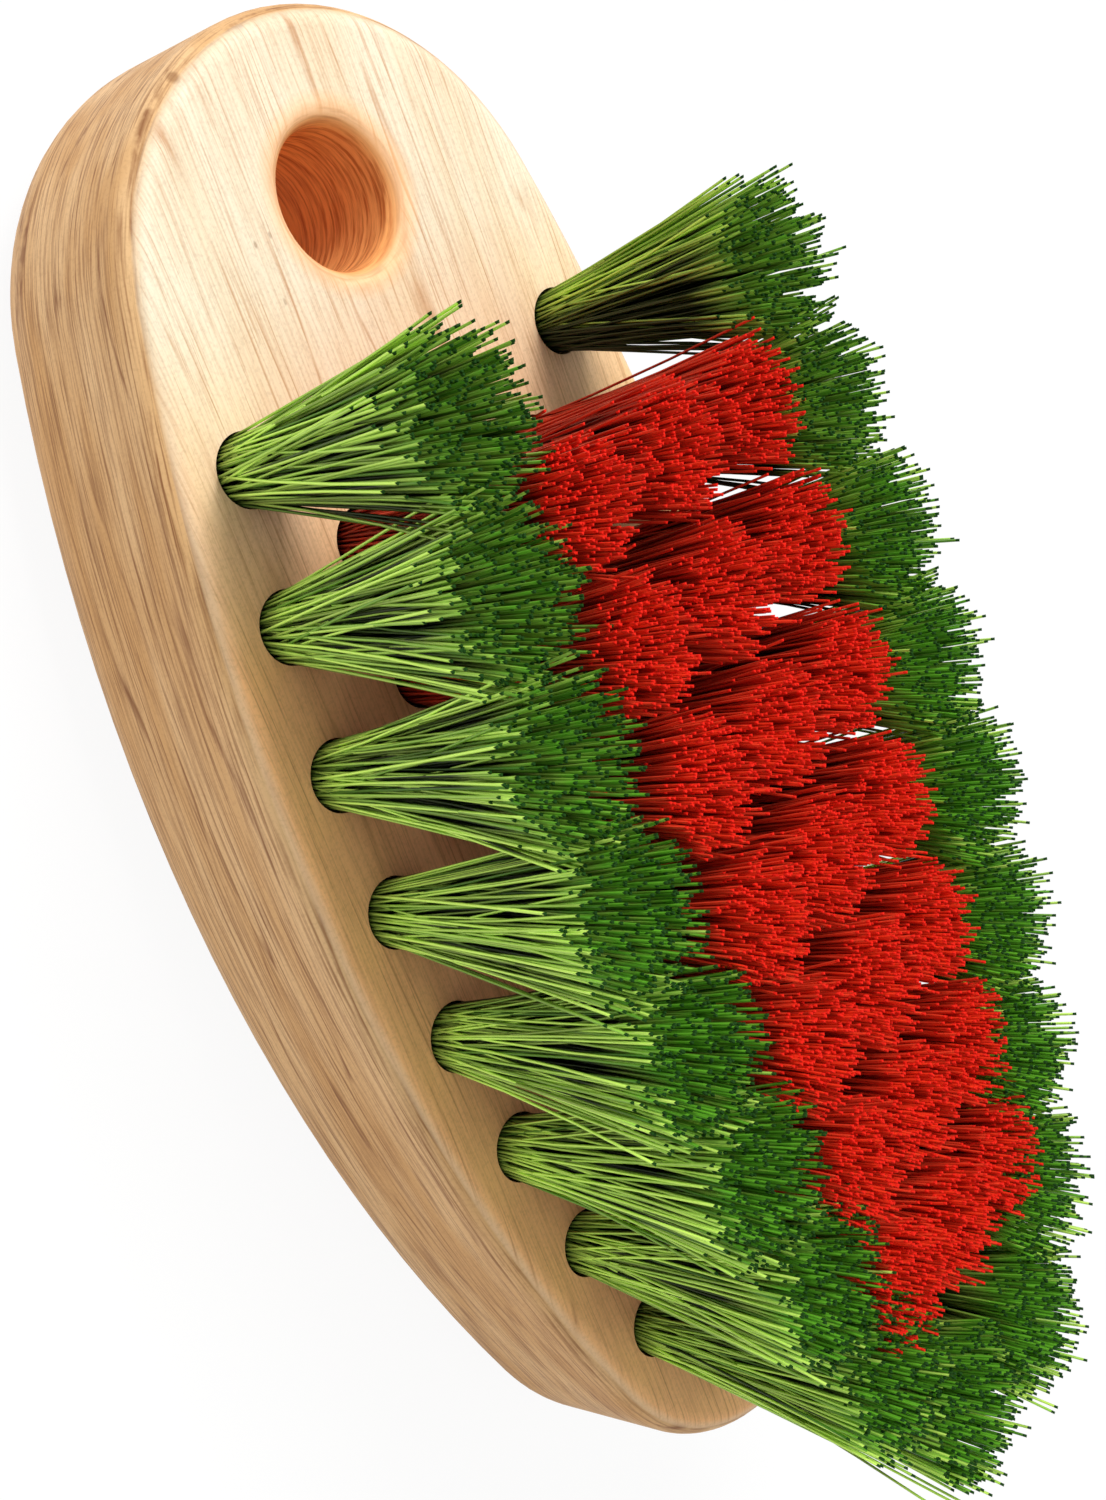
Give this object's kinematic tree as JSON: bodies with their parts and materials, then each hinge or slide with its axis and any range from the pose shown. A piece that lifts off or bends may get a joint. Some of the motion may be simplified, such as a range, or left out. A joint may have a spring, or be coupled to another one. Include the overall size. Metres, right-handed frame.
{
  "type": "vegetable brush",
  "caption": "Hand-held vegetable brush: egg-shaped wooden block with a rounded hanging hole, a ring of green bristle tufts and aligned rows of red tufts.",
  "frame": {"origin": "middle of the block's flat back, on the plane the brush rests on", "axes": "+Z from the back towards the bristle tips, +X along the block towards its hanging hole, +Y across the block"},
  "size_m": [0.14, 0.062, 0.052],
  "materials": {
    "bare_wood": "sanded smooth, unvarnished",
    "anchor_wire": "flat galvanised wire",
    "green_bristle": "semi-matt synthetic filament",
    "red_bristle": "semi-matt synthetic filament"
  },
  "bodies": {
    "root": {"handle_block": "bare_wood", "anchor_staples": "anchor_wire", "green_tuft_01": "green_bristle", "green_tuft_02": "green_bristle", "green_tuft_03": "green_bristle", "green_tuft_04": "green_bristle", "green_tuft_05": "green_bristle", "green_tuft_06": "green_bristle", "green_tuft_07": "green_bristle", "green_tuft_08": "green_bristle", "green_tuft_09": "green_bristle", "green_tuft_10": "green_bristle", "green_tuft_11": "green_bristle", "green_tuft_12": "green_bristle", "green_tuft_13": "green_bristle", "green_tuft_14": "green_bristle", "green_tuft_15": "green_bristle", "green_tuft_16": "green_bristle", "green_tuft_17": "green_bristle", "green_tuft_18": "green_bristle", "red_tuft_01": "red_bristle", "red_tuft_02": "red_bristle", "red_tuft_03": "red_bristle", "red_tuft_04": "red_bristle", "red_tuft_05": "red_bristle", "red_tuft_06": "red_bristle", "red_tuft_07": "red_bristle", "red_tuft_08": "red_bristle", "red_tuft_09": "red_bristle", "red_tuft_10": "red_bristle", "red_tuft_11": "red_bristle", "red_tuft_12": "red_bristle", "red_tuft_13": "red_bristle", "red_tuft_14": "red_bristle", "red_tuft_15": "red_bristle", "red_tuft_16": "red_bristle", "red_tuft_17": "red_bristle", "red_tuft_18": "red_bristle", "red_tuft_19": "red_bristle", "red_tuft_20": "red_bristle", "red_tuft_21": "red_bristle"}
  },
  "joints": []
}
